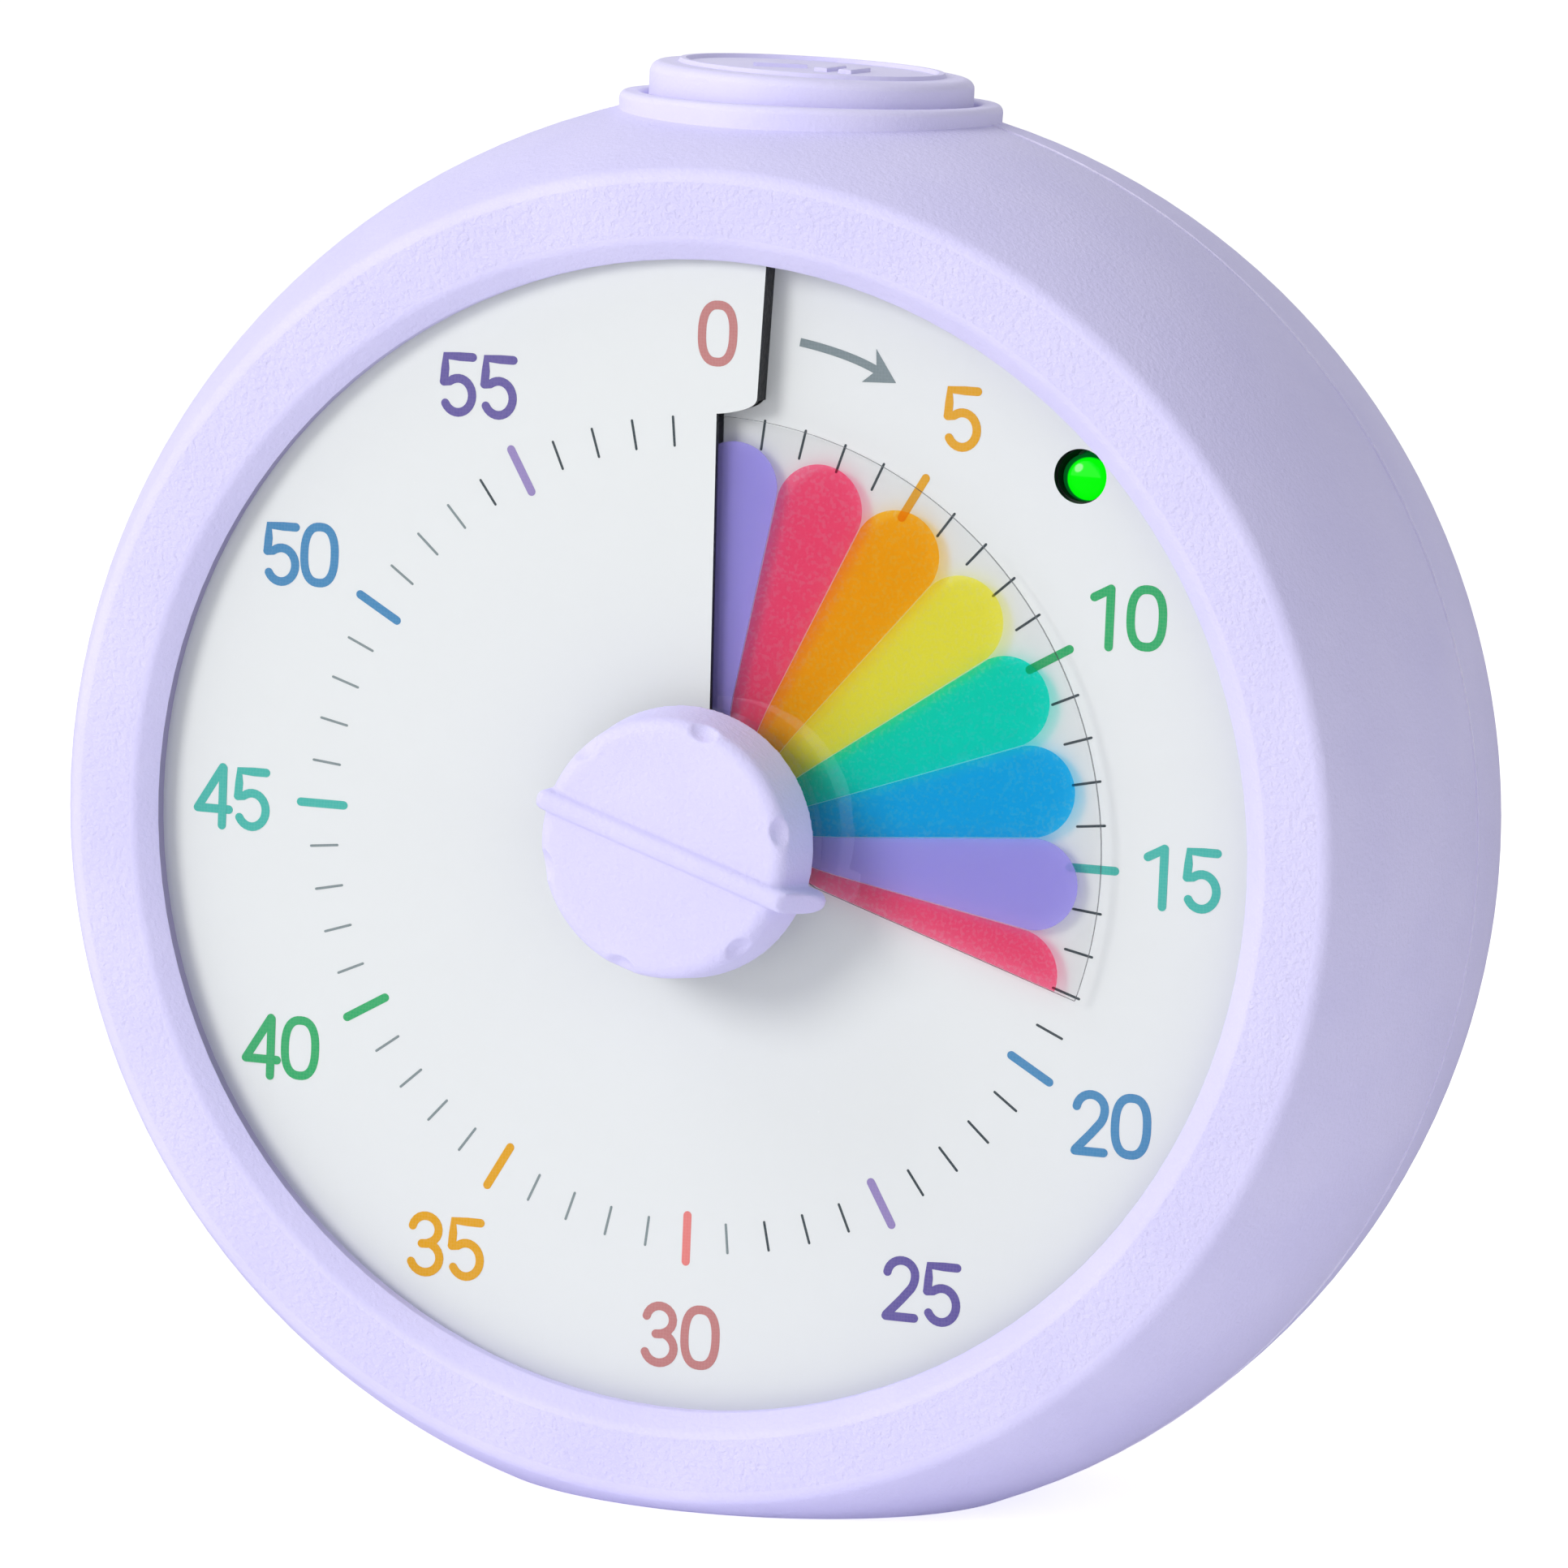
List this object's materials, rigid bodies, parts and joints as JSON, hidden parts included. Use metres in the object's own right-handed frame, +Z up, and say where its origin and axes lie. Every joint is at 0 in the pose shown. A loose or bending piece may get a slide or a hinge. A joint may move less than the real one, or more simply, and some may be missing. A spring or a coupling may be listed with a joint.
{
  "type": "visual timer",
  "caption": "Round barrel-shaped visual countdown timer: spiral dial with a slit, rainbow film wound out by a centre knob, top button, status lamp, battery door at the back.",
  "frame": {"origin": "bottom centre of the bounding box, on the flat base", "axes": "+Z up, -Y towards the viewer out of the dial, +X to the viewer's right, dial axis along Y"},
  "size_m": [0.1084, 0.0438, 0.1063],
  "materials": {
    "lavender_plastic": "fine-grained matte moulding",
    "dial_plastic": "satin printed sheet",
    "colour_film": "glossy printed film",
    "clear_plastic": "clear gloss",
    "black_plastic": "satin",
    "grey_plastic": "satin moulding",
    "natural_acetal": "self-lubricating moulding",
    "steel": "bright plated",
    "brass": "turned",
    "circuit_board": "solder mask",
    "lamp_green": "diffused epoxy",
    "cell_sleeve": "satin sleeve"
  },
  "bodies": {
    "case": {"front_case": "lavender_plastic", "rear_case": "lavender_plastic", "button_collar": "lavender_plastic", "switch_body": "black_plastic", "dial_sheet": "dial_plastic", "dial_carrier": "black_plastic", "arbor_bush": "brass", "idler_pin": "steel", "gear_motor": "steel", "gearbox_cover": "grey_plastic", "chassis": "grey_plastic", "main_board": "circuit_board", "controller_chip": "black_plastic", "status_lamp": "lamp_green", "buzzer": "black_plastic", "slide_switch": "steel", "batteries": "cell_sleeve", "contact_springs": "steel", "contact_plates": "steel", "case_screws": "steel", "chassis_screws": "steel", "board_screws": "steel", "gearbox_screws": "steel"},
    "setting_knob": {"knob": "lavender_plastic", "hub_washer": "clear_plastic", "arbor": "steel", "drive_gear": "natural_acetal", "clutch_spring": "steel", "retaining_clip": "steel"},
    "film": {"film_disc": "colour_film", "film_hub": "natural_acetal"},
    "idler": {"idler_gear": "natural_acetal"},
    "pinion": {"motor_pinion": "natural_acetal"},
    "button": {"top_button": "lavender_plastic", "switch_plunger": "natural_acetal"},
    "slider": {"sound_slider": "black_plastic"},
    "door": {"battery_door": "lavender_plastic"}
  },
  "joints": [
    {"name": "knob_turn", "type": "hinge", "parent": "case", "child": "setting_knob", "pos_m": [0, 0, 0.0503], "axis": [0, 1, 0], "range_deg": [-108, 252]},
    {"name": "film_feed", "type": "slide", "parent": "setting_knob", "child": "film", "axis": [0, -1, 0], "range_m": [-0.0007, 0.0015]},
    {"name": "idler_turn", "type": "hinge", "parent": "case", "child": "idler", "pos_m": [0.0144, 0, 0.0503], "axis": [0, 1, 0], "continuous": true},
    {"name": "pinion_turn", "type": "hinge", "parent": "case", "child": "pinion", "pos_m": [0.0144, 0, 0.0623], "axis": [0, 1, 0], "continuous": true},
    {"name": "button_press", "type": "slide", "parent": "case", "child": "button", "axis": [0, 0, -1], "range_m": [0, 0.0012], "stiffness_N_per_m": 900, "springref_m": -0.0006},
    {"name": "sound_slide", "type": "slide", "parent": "case", "child": "slider", "axis": [1, 0, 0], "range_m": [0, 0.004]},
    {"name": "battery_door_hinge", "type": "hinge", "parent": "case", "child": "door", "pos_m": [0, 0.02063, 0.0124], "axis": [-1, 0, 0], "range_deg": [0, 75]}
  ],
  "couplings": [
    {"joint": "film_feed", "follows": "knob_turn", "m_per_rad": 0.00031831},
    {"joint": "idler_turn", "follows": "knob_turn", "ratio": -5},
    {"joint": "pinion_turn", "follows": "knob_turn", "ratio": 20}
  ]
}
